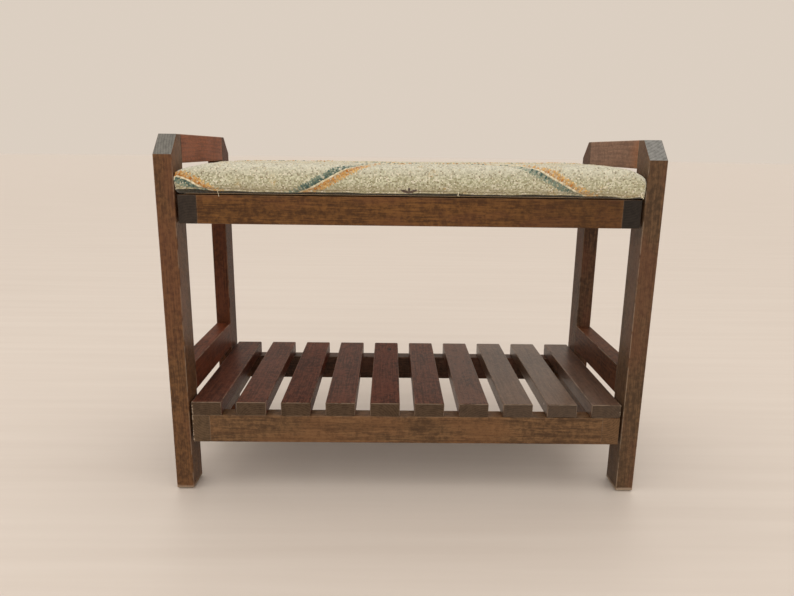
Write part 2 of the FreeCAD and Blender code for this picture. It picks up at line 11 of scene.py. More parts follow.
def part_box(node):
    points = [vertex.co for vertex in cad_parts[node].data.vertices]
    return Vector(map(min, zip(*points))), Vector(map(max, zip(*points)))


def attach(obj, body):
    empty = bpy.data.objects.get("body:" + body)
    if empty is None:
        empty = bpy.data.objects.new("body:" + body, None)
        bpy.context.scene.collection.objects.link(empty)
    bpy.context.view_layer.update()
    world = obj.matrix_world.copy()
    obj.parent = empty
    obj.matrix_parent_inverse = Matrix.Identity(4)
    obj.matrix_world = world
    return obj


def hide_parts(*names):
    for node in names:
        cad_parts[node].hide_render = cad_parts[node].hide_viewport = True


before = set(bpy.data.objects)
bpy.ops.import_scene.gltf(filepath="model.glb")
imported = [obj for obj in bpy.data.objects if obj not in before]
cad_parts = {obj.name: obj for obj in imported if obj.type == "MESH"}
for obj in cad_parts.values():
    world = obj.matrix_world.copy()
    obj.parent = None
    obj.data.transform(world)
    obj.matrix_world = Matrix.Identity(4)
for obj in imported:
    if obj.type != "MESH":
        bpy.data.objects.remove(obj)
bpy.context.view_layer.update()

MM = 0.001


def placed(name, data):
    """An object of this mesh, curve, light or camera, in the scene."""
    thing = bpy.data.objects.new(name, data)
    bpy.context.scene.collection.objects.link(thing)
    return thing


def as_mesh(piece):
    """What the object's modifiers or curve make of it, as a plain mesh."""
    return bpy.data.meshes.new_from_object(piece.evaluated_get(bpy.context.evaluated_depsgraph_get()))


# ---------------------------------------------------------------- writing node trees


class Wire:
    """A value in a node tree. Sums written on it become Math nodes, and node() adds any other node."""

    def __init__(self, tree, socket=None):
        self.tree, self.socket = tree, socket

    def node(self, kind, values=(), out=0, **settings):
        """Any node: its settings first, then its sockets by number, identifier or name. Gives output out."""
        made = self.tree.nodes.new(kind)
        for name, value in settings.items():
            setattr(made, name, value)
        pairs = values.items() if isinstance(values, dict) else enumerate(values)
        for key, value in pairs:
            entry = made.inputs[key] if isinstance(key, int) else next(
                s for s in made.inputs if s.identifier == key or (s.name == key and s.enabled)
            )
            if isinstance(value, Wire):
                self.tree.links.new(value.socket, entry)
            elif entry.type == "RGBA" and len(value) == 3:
                entry.default_value = (*value, 1.0)
            else:
                entry.default_value = value
        return Wire(self.tree, made.outputs[out]) if len(made.outputs) else None

    def other(self, name):
        """Another output of the node that this value comes from."""
        return Wire(self.tree, self.socket.node.outputs[name])

    def sum(self, how, *values):
        return self.node("ShaderNodeMath", values, operation=how)

    def __add__(self, other):
        return self.sum("ADD", self, other)

    def __sub__(self, other):
        return self.sum("SUBTRACT", self, other)

    def __rsub__(self, other):
        return self.sum("SUBTRACT", other, self)

    def __mul__(self, other):
        return self.sum("MULTIPLY", self, other)

    def __truediv__(self, other):
        return self.sum("DIVIDE", self, other)

    def __pow__(self, other):
        return self.sum("POWER", self, other)

    __radd__, __rmul__ = __add__, __mul__

    def __abs__(self):
        return self.sum("ABSOLUTE", self)

    def most(self, other):
        return self.sum("MAXIMUM", self, other)

    def least(self, other):
        return self.sum("MINIMUM", self, other)

    def fract(self):
        return self.sum("FRACT", self)

    def rise(self, low, high):
        """0 below low, 1 above high and a soft step between; low may be the larger of the two."""
        return self.node("ShaderNodeMapRange", (self, low, high, 0.0, 1.0), interpolation_type="SMOOTHSTEP")

    def scaled(self, by):
        return self.node("ShaderNodeVectorMath", {0: self, "Scale": by}, operation="SCALE")

    def parts(self):
        first = self.node("ShaderNodeSeparateXYZ", (self,))
        return first, first.other("Y"), first.other("Z")

    def joined(self, x, y, z):
        return self.node("ShaderNodeCombineXYZ", (x, y, z))

    def cloudy(self, scale, detail, roughness=0.5):
        """Soft noise at this place; its Color output holds three unlike values."""
        return self.node("ShaderNodeTexNoise", {
            "Vector": self, "Scale": scale, "Detail": detail, "Roughness": roughness,
        })

    def blend(self, share, first, second):
        """The first colour going over into the second as share goes from 0 to 1."""
        return self.node("ShaderNodeMix", {
            "Factor_Float": share, "A_Color": first, "B_Color": second,
        }, out=2, data_type="RGBA", clamp_factor=True)

    def tint(self, share, colour):
        """This colour, with share of the other one laid over it."""
        return self.blend(share, self, colour)


def stain(r, g, b):
    """A colour given in the 0 to 255 steps of a colour card, as light."""
    return tuple(c / 255 / 12.92 if c <= 10 else ((c / 255 + 0.055) / 1.055) ** 2.4 for c in (r, g, b))


def new_finish(name):
    """(the material, a wire to start from, its surface shader)."""
    material = bpy.data.materials.new(name)
    material.use_nodes = True
    return material, Wire(material.node_tree), material.node_tree.nodes["Principled BSDF"]


def coat(material, shader, colour, roughness, height=None, depth=0.0002, strength=1.0, **fixed):
    """Puts colour, roughness and relief on the shader; fixed holds what is the same all over."""
    tree = material.node_tree
    for socket, value in (("Base Color", colour), ("Roughness", roughness)):
        if isinstance(value, Wire):
            tree.links.new(value.socket, shader.inputs[socket])
        else:
            shader.inputs[socket].default_value = value if socket == "Roughness" else (*value, 1.0)
    if height is not None:
        bump = Wire(tree).node("ShaderNodeBump", {"Strength": strength, "Distance": depth, "Height": height})
        tree.links.new(bump.socket, shader.inputs["Normal"])
    for socket, value in fixed.items():
        shader.inputs[socket.replace("_", " ")].default_value = value
    return material


# ---------------------------------------------------------------- the boards

X, Y, Z = 0, 1, 2
LIGHT, DARK, CAST = stain(122, 84, 50), stain(74, 47, 29), stain(92, 52, 40)
# the pale colour of rubbed wood; along the arrises it also stands as painted highlight
ENDS, WORN_AND_GLINT = stain(66, 56, 46), stain(176, 158, 138)
KNOT, PAINT_SPECK = stain(30, 16, 14), stain(205, 198, 185)
SEED_STEP = 61.7  # mm along the grain from one board's figure to the next
SCUFF_FROM, SCUFF_FULL = -122, -138  # the scuffs are on the front ends, between these depths


def board_finish(node, along, seed, light=LIGHT, dark=DARK, ends=ENDS, cast=CAST, cast_share=0.35,
                 pith=(0.0, -60.0), ring=3.4, rings=0.3, streaks=1.0, knots=(), fade=None, edge_wear_and_glint=0.5,
                 edge_band_width=1.6, foot=0.0, scuffs=None, gloss=0.07, roughness=0.42, shine=0.12):
    """Dark stain under a satin lacquer. All sizes are in mm.

    along is the grain's axis and pith the heart's place across the board from its middle. The rings about it,
    ring apart, show on the long faces and on the ends alike. rings, streaks, edge_wear_and_glint and foot say
    how strongly the rings, streaks, lightened edges and rubbed foot show; the lightened edges are rubbed wear
    and partly a painted highlight along each arris. knots are (along, across, up, size, how black),
    fade is (axis, start, full, share, colour) and scuffs are (axis, place, reach, share).
    """
    material, w, shader = new_finish("stained_" + node)
    low, high = ([c / MM for c in corner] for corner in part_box(node))
    place = w.node("ShaderNodeTexCoord", out="Object").scaled(1000.0)
    xyz = place.parts()
    order = ((0, 1, 2), (1, 0, 2), (2, 0, 1))[along]
    a, b, c = (xyz[i] - (low[i] + high[i]) / 2 for i in order)
    a = a + seed * SEED_STEP
    wander = w.joined(a * 0.0045, b * 0.012 + seed, c * 0.012).cloudy(1.0, 2.0)
    drift = wander.other("Color").parts()
    b2, c2 = b + (drift[0] - 0.5) * 9.0, c + (drift[1] - 0.5) * 9.0
    spots = []
    for at, across, up, size, black in knots:
        near = ((a - (at + seed * SEED_STEP)) ** 2.0 * 0.35 + (b - across) ** 2.0 + (c - up) ** 2.0) ** 0.5
        b2 = b2 + near.rise(size * 3.2, 0.0) * size * 1.3
        spots.append((near, size, black))
    heart = ((b2 - pith[0]) ** 2.0 + (c2 - pith[1]) ** 2.0) ** 0.5
    turn = (heart / ring + drift[2] * 2.2).fract()
    late = turn ** 2.2 * turn.rise(1.0, 0.93)
    streak = w.joined(a * 0.016, b2 * 0.4, c2 * 0.4).cloudy(1.0, 4.0, 0.65).rise(0.28, 0.72)
    thread = w.joined(a * 0.06, b * 1.5, c * 1.5).cloudy(1.0, 2.0, 0.65).rise(0.25, 0.75)
    mottle = w.joined(a * 0.16, b * 0.16 + seed, c * 0.16).cloudy(1.0, 3.0, 0.65).rise(0.3, 0.7)
    pore = w.joined(a * 0.11 + 7.0, b * 3.1, c * 3.1).cloudy(1.0, 1.0).rise(0.60, 0.70)
    patch = w.joined(a * 0.011 + seed * 3.1, b * 0.03, c * 0.03).cloudy(1.0, 3.0, 0.55)
    figure = (streak - 0.5) * 0.8 * streaks + (thread - 0.5) * 0.7 + (patch - 0.5) * 1.4
    tone = w.blend(figure + (mottle - 0.5) * 0.8 + 0.5, dark, light)
    tone = tone.tint(late * rings, tuple(0.45 * v for v in dark))
    tone = tone.tint(patch.rise(0.42, 0.68) * cast_share, cast)
    tone = tone.tint(pore * 0.45, tuple(0.3 * v for v in dark))
    # a colour laid on along one axis; on the greyer slats it lightens the front half as a painted reflection
    if fade:
        axis, start, full, share, colour = fade
        reached = (xyz[axis] + (patch - 0.5) * 60.0).rise(start, full)
        tone = tone.tint(reached * share * (streak * 0.5 + 0.5), colour)
    facing = w.node("ShaderNodeTexCoord", out="Normal").parts()
    end = abs(facing[order[0]]).rise(0.56, 0.68)
    end_figure = late * 0.6 + (thread - 0.5) * 0.5 + (mottle - 0.5) * 0.5 + 0.15
    tone = tone.tint(end, w.blend(end_figure, ends, tuple(0.38 * v for v in ends)))
    for near, size, black in spots:
        tone = tone.tint((near + (thread - 0.5) * 5.0).rise(size, size * 0.55) * black, KNOT)
    # lightened edges: rubbed wear, and partly a painted highlight along each arris
    blotches = place.cloudy(0.045, 3.0, 0.6)
    edges = []
    for i in range(3):
        inside = (xyz[i] - low[i]).least(high[i] - xyz[i])
        edges.append((inside + (blotches - 0.5) * 1.2).rise(edge_band_width, 0.1))
    wear_and_glint = (edges[0] * edges[1]).most(edges[1] * edges[2]).most(edges[0] * edges[2])
    wear_and_glint = wear_and_glint * blotches.rise(0.38, 0.58) * edge_wear_and_glint
    if foot:
        wear_and_glint = wear_and_glint.most((xyz[Z] + (blotches - 0.5) * 5.0).rise(7.5, 4.5) * foot)
    if scuffs:
        axis, at, reach, share = scuffs
        flake = place.cloudy(0.22, 2.0, 0.7).rise(0.53, 0.58)
        beside = abs(xyz[axis] - at).rise(reach, reach * 0.5) * xyz[Y].rise(SCUFF_FROM, SCUFF_FULL)
        wear_and_glint = wear_and_glint.most(beside * flake * share)
    tone = tone.tint(wear_and_glint, WORN_AND_GLINT)
    speck = place.node("ShaderNodeTexVoronoi", {"Vector": place, "Scale": 0.016}).rise(0.035, 0.028)
    tone = tone.tint(speck * 0.7, PAINT_SPECK)
    smear = place.cloudy(0.012, 3.0, 0.6)
    rough = roughness + (smear - 0.5) * 0.22 + wear_and_glint * 0.25 + pore * 0.12 + end * 0.1
    return coat(material, shader, tone, rough, streak * 0.5 + thread * 0.35 - pore * 0.8 - late * 0.3,
                depth=0.00022, strength=0.6, Coat_Weight=gloss, Coat_Roughness=0.16, Specular_IOR_Level=shine)


def dress(node, material):
    """Gives a carried-over part its finish, in place of what it was packed with."""
    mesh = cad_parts[node].data
    mesh.materials.clear()
    mesh.materials.append(material)


REDDISH = dict(light=stain(116, 64, 40), dark=stain(66, 34, 21), cast=stain(106, 54, 36), cast_share=0.5,
               gloss=0.03, shine=0.05)


def reddish(**look):
    """A board of the redder timber, with what is its own."""
    return {**REDDISH, **look}


boards = {
    "left_front_leg": dict(
        along=Z, seed=1.3, light=stain(116, 82, 52), dark=stain(76, 52, 34), ends=stain(122, 121, 116),
        pith=(170, 12), rings=0.2, streaks=0.75, edge_wear_and_glint=0.45, foot=0.45),
    "right_front_leg": dict(
        along=Z, seed=2.7, light=stain(108, 82, 58), dark=stain(74, 56, 40), ends=stain(138, 139, 137),
        pith=(-30, 60), rings=0.25, streaks=0.75, edge_wear_and_glint=0.55, foot=0.6),
    "left_rear_leg": dict(
        along=Z, seed=3.9, light=stain(90, 52, 30), dark=stain(54, 30, 18), ends=stain(110, 106, 100),
        pith=(50, -40), foot=0.4, shine=0.05),
    "right_rear_leg": dict(
        along=Z, seed=5.1, light=stain(100, 74, 54), dark=stain(64, 46, 35), ends=stain(110, 106, 100),
        pith=(-50, -40), foot=0.4, shine=0.05),
    "left_top_rail": reddish(
        along=Y, seed=6.2, light=stain(152, 88, 56), dark=stain(112, 64, 42), cast=stain(142, 84, 54),
        pith=(22, -34), ring=5.5, rings=0.5, streaks=0.5, knots=[(4, 10, 4, 9, 0.0)]),
    "right_top_rail": reddish(
        along=Y, seed=7.4, light=stain(154, 120, 98), dark=stain(120, 90, 74), cast=stain(140, 100, 78),
        pith=(-26, 30), ring=5.5, rings=0.35, streaks=0.4, fade=(Y, -70, -118, 0.7, stain(166, 100, 50))),
    "left_side_stretcher": reddish(along=Y, seed=8.6, pith=(40, 30)),
    "right_side_stretcher": reddish(
        along=Y, seed=9.1, light=stain(104, 66, 45), dark=stain(60, 36, 24), cast=stain(92, 56, 38),
        pith=(-40, 30)),
    "seat_front_rail": dict(
        along=X, seed=10.4, light=stain(118, 80, 41), dark=stain(74, 47, 24), pith=(70, 15), ring=3.0,
        rings=0.25, edge_wear_and_glint=0.1, fade=(X, 60, 250, 0.45, stain(66, 46, 28))),
    "seat_rear_rail": dict(
        along=X, seed=11.9, light=stain(112, 68, 48), dark=stain(72, 42, 30), pith=(-60, 10), shine=0.05),
    "seat_left_cross_rail": dict(along=Y, seed=12.8, ends=stain(57, 48, 41), pith=(6, -30), edge_wear_and_glint=0.1),
    "seat_right_cross_rail": dict(along=Y, seed=13.7, ends=stain(46, 40, 35), pith=(-8, 28), edge_wear_and_glint=0.1),
    "shelf_front_rail": dict(
        along=X, seed=14.3, light=stain(124, 93, 63), dark=stain(82, 60, 41), cast=stain(116, 78, 50),
        pith=(34, 6), ring=4.0, rings=0.4, edge_wear_and_glint=0.25, edge_band_width=1.0),
    "shelf_rear_rail": dict(
        along=X, seed=15.5, light=stain(96, 66, 48), dark=stain(58, 38, 27), pith=(-60, 12)),
    "shelf_left_cross_rail": dict(
        along=Y, seed=16.1, ends=stain(96, 76, 56), pith=(10, 24), edge_wear_and_glint=0.15, scuffs=(X, -302.5, 2.6, 0.8)),
    "shelf_right_cross_rail": dict(along=Y, seed=17.2, ends=stain(112, 84, 58), pith=(-12, 26), edge_wear_and_glint=0.08),
}

# each slat's look, from the red stain at 0 to the greyer, glossier one at 1; the grey is partly the wood's
# own colour and partly a painted reflection of pale light
SLAT_GREYS = {1: 0.1, 2: 0.1, 3: 0, 4: 0.1, 5: 0, 6: 0.15, 7: 0.4, 8: 0.85, 9: 1.0, 10: 0.7}
SLAT_KNOT = {5: [(102, 6, 10, 4.5, 1.0)]}
SLAT_SCUFFS = {
    1: (X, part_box("shelf_slat_01")[0][0] / MM, 3.0, 0.7),
    10: (X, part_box("shelf_slat_10")[1][0] / MM, 3.0, 0.7),
}


def between(red, dull, grey):
    """The slat's colour, grey of the way from the red stain to the dull grey one, which is partly a painted
    reflection.
    """
    return tuple(r + (d - r) * grey for r, d in zip(stain(*red), stain(*dull)))


# on the greyer slats the colour ramp towards the front is a painted reflection
for number, grey in SLAT_GREYS.items():
    boards["shelf_slat_%02d" % number] = dict(
        along=Y, seed=20.0 + 1.37 * number,
        light=between((108, 62, 46), (104, 79, 61), grey), dark=between((60, 32, 24), (60, 43, 31), grey),
        cast=between((90, 44, 33), (94, 72, 57), grey), ends=between((86, 69, 54), (78, 61, 46), grey),
        pith=((number * 17) % 40 - 20, -18 - (number * 7) % 30), ring=3.2, rings=0.22,
        knots=SLAT_KNOT.get(number, []), edge_wear_and_glint=0.8, edge_band_width=1.5, scuffs=SLAT_SCUFFS.get(number),
        fade=(Y, 60, -100, 0.45 * grey, stain(128, 106, 90)) if grey > 0.5 else None,
        gloss=0.02 + 0.2 * grey, roughness=0.36, shine=0.03 + 0.25 * grey)
for name, look in boards.items():
    dress(name, board_finish(name, **look))


def pine_finish():
    """Bare softwood of the hidden blocks: pale, with soft brown rings."""
    material, w, shader = new_finish("bare_pine")
    place = w.node("ShaderNodeTexCoord", out="Object")
    x, y, z = place.parts()
    wander = w.joined(x * 9.0, y * 9.0, z * 30.0).cloudy(1.0, 2.0)
    turn = (((x + y) * 210.0 + z * 14.0) + wander * 2.6).fract()
    late = turn ** 3.0 * turn.rise(1.0, 0.9)
    thread = w.joined(x * 900.0, y * 900.0, z * 40.0).cloudy(1.0, 2.0)
    tone = w.blend(thread, stain(196, 160, 112), stain(214, 184, 140))
    tone = tone.tint(late * 0.75, stain(150, 98, 52))
    rough = 0.62 + (thread - 0.5) * 0.2
    return coat(material, shader, tone, rough, thread - late, depth=0.0003, strength=0.5)


def beech_finish():
    """Turned pins and dowels: pale beech with short brown flecks."""
    material, w, shader = new_finish("turned_beech")
    x, y, z = w.node("ShaderNodeTexCoord", out="Object").parts()
    fleck = w.joined(x * 260.0, y * 260.0, z * 900.0).cloudy(1.0, 1.0).rise(0.58, 0.7)
    tone = w.blend(fleck, stain(206, 172, 130), stain(146, 102, 66))
    return coat(material, shader, tone, 0.5 + fleck * 0.2, fleck, depth=0.0001, strength=0.4)


BOARD_UNDERSIDE = 422.6  # mm above the floor
TWO_PLIES = 4.8  # mm


def plywood_finish():
    """The seat board: veneer figure on its faces, and its plies as stripes round the edge."""
    material, w, shader = new_finish("seat_plywood")
    place = w.node("ShaderNodeTexCoord", out="Object")
    x, y, z = place.parts()
    wander = w.joined(x * 3.0, y * 14.0, z).cloudy(1.0, 3.0)
    figure = (y * 55.0 + wander * 7.0).fract()
    late = figure ** 2.5 * figure.rise(1.0, 0.85)
    thread = w.joined(x * 30.0, y * 700.0, z * 700.0).cloudy(1.0, 2.0)
    face = w.blend(thread, stain(186, 150, 106), stain(208, 176, 132)).tint(late * 0.5, stain(150, 106, 66))
    ply = ((z * 1000.0 - BOARD_UNDERSIDE) / TWO_PLIES).fract().rise(0.45, 0.55)
    edge = abs(w.node("ShaderNodeTexCoord", out="Normal").parts()[2]).rise(0.7, 0.3)
    tone = face.tint(edge * ply * 0.7, stain(112, 78, 50))
    return coat(material, shader, tone, 0.6 + (thread - 0.5) * 0.2, thread, depth=0.0002, strength=0.4)


def zinc_finish():
    """Plated steel with a faint bloom."""
    material, w, shader = new_finish("zinc_steel")
    bloom = w.node("ShaderNodeTexCoord", out="Object").cloudy(420.0, 3.0, 0.6)
    tone = w.blend(bloom, stain(150, 152, 156), stain(196, 190, 172))
    return coat(material, shader, tone, 0.28 + bloom * 0.25, bloom, depth=0.00005, strength=0.3, Metallic=1.0)


hardware = {
    pine_finish(): ["left_front_corner_block", "left_rear_corner_block", "right_front_corner_block",
                    "right_rear_corner_block"],
    beech_finish(): ["left_end_dowels", "right_end_dowels", "seat_frame_dowels", "shelf_frame_dowels",
                     "slat_pins", "seat_frame_spacers", "shelf_frame_spacers"],
    plywood_finish(): ["seat_board"],
    zinc_finish(): ["seat_frame_screws", "shelf_frame_screws", "seat_board_screws", "cover_staples"],
}
for material, names in hardware.items():
    for name in names:
        dress(name, material)


# ---------------------------------------------------------------- the seat pad

HALF_X, HALF_Y = 305.2, 142.0  # the pad's outline where it is widest
ROLL_Z, CROWN = 441.0, 19.9  # where the top starts to roll over, and how much it rises from there
BORDER, CORNER = 24.0, 2.5  # the top grid stops this far in; corners are this round
GRID_X, GRID_Y = 112, 46
HOLLOW_TOP = -6.05  # the roof of the hollow, from ROLL_Z
SWELL_MOST = 0.0016  # metres that the cover may swell
SWELL_FRAMES = 20
OVERHANG_X = 3.2  # the front corners are pushed out this far, for the rounding that smoothing takes away
LIMIT_X = 305.35  # the pad stops here; the legs stand at 305.5
BAND_SLOPE, BAND_REPEAT, BAND_STEP = 1.75, 485.0, 6.8


def crown(x, y):
    """Height of the padded top: a tight roll in front, softer at the back, a long soft fall to the ends."""
    ends = 1 - math.exp(-((max(HALF_X - abs(x), 0) / 6.0) ** 0.75))
    front = 1 - math.exp(-(max(HALF_Y + y, 0) ** 0.5))
    back = 1 - math.exp(-((max(HALF_Y - y, 0) / 1.6) ** 0.36))
    return ROLL_Z + CROWN * ends * front * back


def to_side(side, along, out):
    """A place given along and out from one side, as x and y; side is 0 front, 1 right, 2 back, 3 left."""
    return ((along, -out), (out, along), (-along, out), (-out, -along))[side]


def outline(side, share, inset):
    """A point of the rounded outline, share (-1 to 1) along a side, and how far along the cloth that is."""
    hx, hy = HALF_X - inset, HALF_Y - inset
    r = CORNER * (1 - inset / BORDER) if inset < BORDER else 0.0
    long, deep = (hx, hy) if side % 2 == 0 else (hy, hx)
    walk = abs(share) * (long - r + r * math.pi / 4)
    if walk <= long - r or r == 0:
        p, q = walk, deep
    else:
        t = (walk - (long - r)) / r
        p, q = long - r + r * math.sin(t), deep - r * (1 - math.cos(t))
    return to_side(side, math.copysign(p, share), q), math.copysign(walk, share)


def outline_square(side, share, inset):
    """The same place before the corners are rounded."""
    hx, hy = HALF_X - inset, HALF_Y - inset
    long, deep = (hx, hy) if side % 2 == 0 else (hy, hx)
    return to_side(side, share * long, deep)


def hem_lift(side, share):
    """How far the bottom edge rises or sags: loose at the front left corner, low at the front right."""
    if side != 0:
        return 0.35 * math.sin(share * 9.0 + side)
    x = share * HALF_X
    rise = 1.4 + 3.0 / (1 + math.exp((x + 270) / 8.0))
    sag = -2.6 * math.exp(-(((x - 286) / 15.0) ** 2))
    return rise + sag + 0.5 * math.sin(x * 0.045) + 0.3 * math.sin(x * 0.13)


# (inset, height above ROLL_Z or None to follow the crown, how much of the hem's lift it takes)
rings = [(d, None, 0) for d in (19.5, 15.5, 12.0, 9.0, 6.5, 4.4, 2.8, 1.6, 0.8, 0.3, 0.07)]
rings += [(0.0, 0.0, 0), (0.1, -3.5, 0), (0.3, -7.0, 0), (0.7, -10.3, 0.1), (1.2, -12.6, 0.5)]
# the hem
rings += [(1.9, -13.8, 0.9), (2.0, -14.2, 1), (1.1, -14.7, 1), (0.8, -15.5, 1), (1.2, -16.4, 1),
          (2.6, -17.1, 1)]
# the flap, out to its edge and back
rings += [(5.5, -18.3, 0.8), (9.0, -19.3, 0.3), (13.0, -19.8, 0), (20.0, -19.85, 0), (28.0, -19.85, 0),
          (34.0, -19.8, 0), (34.6, -19.4, 0), (34.2, -18.7, 0), (28.0, -18.6, 0), (15.0, -18.6, 0),
          (3.5, -18.6, 0)]
# the hollow's wall and roof
rings += [(1.95, -17.5, 0), (1.85, -13.0, 0), (1.85, -7.5, 0), (3.0, -6.2, 0), (12.0, -6.1, 0)]
HEM_RING = next(i for i, ring in enumerate(rings) if ring[1] == -12.6)


def pad_mesh():
    """The pad as one closed skin: crowned top, rolled edges, hem, the flap turned under, and the hollow for
    the board. Its UV map is the flat cloth in mm, with the middle of the top at 0, 0. Also gives 1 for each
    point above the hem and 0 for the others."""
    mesh_verts, faces, uvs = [], [], []
    nx, ny = GRID_X, GRID_Y
    ix, iy = HALF_X - BORDER, HALF_Y - BORDER

    def grid(height):
        start = len(mesh_verts)
        for j in range(ny + 1):
            for i in range(nx + 1):
                x, y = ix * (2 * i / nx - 1), iy * (2 * j / ny - 1)
                mesh_verts.append((x, y, height(x, y)))
        return start

    top = grid(crown)
    for j in range(ny):
        for i in range(nx):
            k = top + j * (nx + 1) + i
            face = (k, k + 1, k + nx + 2, k + nx + 1)
            faces.append(face)
            uvs.append([mesh_verts[v][:2] for v in face])

    def border(start):
        at = lambda i, j: start + j * (nx + 1) + i
        loop = [(0, 2 * i / nx - 1, at(i, 0)) for i in range(nx)]
        loop += [(1, 2 * j / ny - 1, at(nx, j)) for j in range(ny)]
        loop += [(2, 2 * i / nx - 1, at(nx - i, ny)) for i in range(nx)]
        return loop + [(3, 2 * j / ny - 1, at(0, ny - j)) for j in range(ny)]

    loop = border(top)
    count = len(loop)
    drops, before, last = [0.0, 0.0], None, [entry[2] for entry in loop]
    walks = [(side, share * (ix if side % 2 == 0 else iy)) for side, share, _ in loop]
    ends = [ix, iy]
    for inset, height, lift in rings:
        fresh, fresh_walks = [], []
        for side, share, _ in loop:
            (x, y), walk = outline(side, share, inset)
            if height is None:
                z = crown(*outline_square(side, share, inset))
            else:
                z = ROLL_Z + height + lift * hem_lift(side, share)
            fresh.append(len(mesh_verts))
            fresh_walks.append((side, walk))
            mesh_verts.append((x, y, z))
        middle = [(0.0, inset, crown(0, inset - HALF_Y) if height is None else ROLL_Z + height),
                  (0.0, inset, crown(HALF_X - inset, 0) if height is None else ROLL_Z + height)]
        if before is None:
            before = [(0.0, BORDER, crown(0, -iy)), (0.0, BORDER, crown(ix, 0))]
        fallen = [drops[k] + math.dist(middle[k], before[k]) for k in (0, 1)]
        long_now = [outline(0, 1.0, inset)[1], outline(1, 1.0, inset)[1]]
        for k in range(count):
            n = (k + 1) % count
            side = loop[k][0]
            kind = side % 2
            base = iy if kind == 0 else ix
            corner_next = loop[n][0] != side
            w0, w1 = walks[k][1], (ends[kind] if corner_next else walks[n][1])
            w2, w3 = (long_now[kind] if corner_next else fresh_walks[n][1]), fresh_walks[k][1]
            faces.append((last[n], last[k], fresh[k], fresh[n]))
            near, far = base + drops[kind], base + fallen[kind]
            uvs.append([to_side(side, p, q) for p, q in ((w1, near), (w0, near), (w3, far), (w2, far))])
        drops, before, last, walks, ends = fallen, middle, fresh, fresh_walks, long_now
    inner = grid(lambda x, y: ROLL_Z + HOLLOW_TOP)
    inner_loop = [entry[2] for entry in border(inner)]
    for k in range(count):
        n = (k + 1) % count
        faces.append((last[n], last[k], inner_loop[k], inner_loop[n]))
        uvs.append([mesh_verts[v][:2] for v in faces[-1]])
    for j in range(ny):
        for i in range(nx):
            k = inner + j * (nx + 1) + i
            faces.append((k, k + nx + 1, k + nx + 2, k + 1))
            uvs.append([mesh_verts[v][:2] for v in faces[-1]])
    mesh = bpy.data.meshes.new("seat_pad")
    mesh.from_pydata([[c * MM for c in v] for v in mesh_verts], [], faces)
    layer = mesh.uv_layers.new(name="flat_cloth")
    layer.data.foreach_set("uv", np.array(uvs, np.float32).ravel())
    mesh.polygons.foreach_set("use_smooth", [True] * len(mesh.polygons))
    free_top = (nx + 1) * (ny + 1)
    free = np.zeros(len(mesh_verts), np.float32)
    free[:free_top] = 1.0
    free[free_top:free_top + count * HEM_RING] = 1.0
    return mesh, free


def coordinates(mesh):
    flat = np.zeros(len(mesh.vertices) * 3, np.float32)
    mesh.vertices.foreach_get("co", flat)
    return flat.reshape(-1, 3).astype(float)


def swell(piece, free):
    """Lets the cover swell under a light pressure, held along its hem, no point further than SWELL_MOST."""
    held = piece.vertex_groups.new(name="held")
    held.add([int(i) for i in np.nonzero(free < 0.5)[0]], 1.0, "REPLACE")
    cloth = piece.modifiers.new("cover", "CLOTH")
    set_up = cloth.settings
    set_up.quality, set_up.mass, set_up.vertex_group_mass = 6, 0.4, "held"
    set_up.tension_stiffness = set_up.compression_stiffness = 60.0
    set_up.shear_stiffness, set_up.bending_stiffness = 20.0, 2.0
    set_up.use_pressure, set_up.uniform_pressure_force = True, 1.5
    set_up.effector_weights.gravity = 0.0
    cloth.point_cache.frame_start, cloth.point_cache.frame_end = 1, SWELL_FRAMES
    start = coordinates(piece.data)
    scene = bpy.context.scene
    for step in range(1, SWELL_FRAMES + 1):
        scene.frame_set(step)
    moved = coordinates(piece.evaluated_get(bpy.context.evaluated_depsgraph_get()).data)
    scene.frame_set(1)
    piece.modifiers.remove(cloth)
    piece.vertex_groups.clear()
    shift = moved - start
    far = np.linalg.norm(shift, axis=1)
    shift *= (np.minimum(far, SWELL_MOST) / np.maximum(far, 1e-9))[:, None]
    return start + shift


def smooth_step(low, high, value):
    t = np.clip((value - low) / (high - low), 0, 1)
    return t * t * (3 - 2 * t)


mesh, free = pad_mesh()
pad = placed("seat_pad", mesh)
points = coordinates(mesh)
points = swell(pad, free)
x, y, z = points.T / MM
top_share = smooth_step(452, 458, z) * free
# lumps of the stuffing, the shallow crease behind the front roll, and the gathers at the corners
lumps = 0.5 * np.sin(x * 0.031 + 1.1) * np.sin(y * 0.044 + 0.4) + 0.3 * np.sin(x * 0.083 + y * 0.061)
along = smooth_step(-95, -40, x) * smooth_step(230, 170, x)
crease = -1.3 * np.exp(-(((y + 112 + 2.0 * np.sin(x * 0.02)) / 3.2) ** 2)) * along
near_corner = smooth_step(30, 6, np.hypot(np.minimum(HALF_X - abs(x), 60), np.minimum(HALF_Y - abs(y), 60)))
angle = np.arctan2(HALF_Y - abs(y) - 20, HALF_X - abs(x) - 20)
gather = 0.9 * near_corner * np.sin(angle * 9.0) * smooth_step(424, 434, z) * free
z = z + top_share * (lumps + crease + 0.004 * x)
x = x + gather * np.sign(x)
y = y + gather * np.sign(y)
# the front swells a little past the rail, most at the right-hand end where it hangs over it
proud = (0.9 + 1.6 * smooth_step(215, 285, x)) * smooth_step(-120, -139, y) * smooth_step(418.5, 424, z)
y = y - proud * smooth_step(463, 452, z)
at_corner = smooth_step(286, 300, abs(x)) * smooth_step(-122, -137, y)
x = x + OVERHANG_X * at_corner * smooth_step(422, 426, z) * smooth_step(458, 448, z) * np.sign(x)
x = np.clip(x, -LIMIT_X, LIMIT_X)
mesh.vertices.foreach_set("co", (np.stack([x, y, z], 1) * MM).astype(np.float32).ravel())
mesh.update()
skin = mesh.attributes.new("outer", "FLOAT", "POINT")
skin.data.foreach_set("value", free)


# ---------------------------------------------------------------- the woven cover


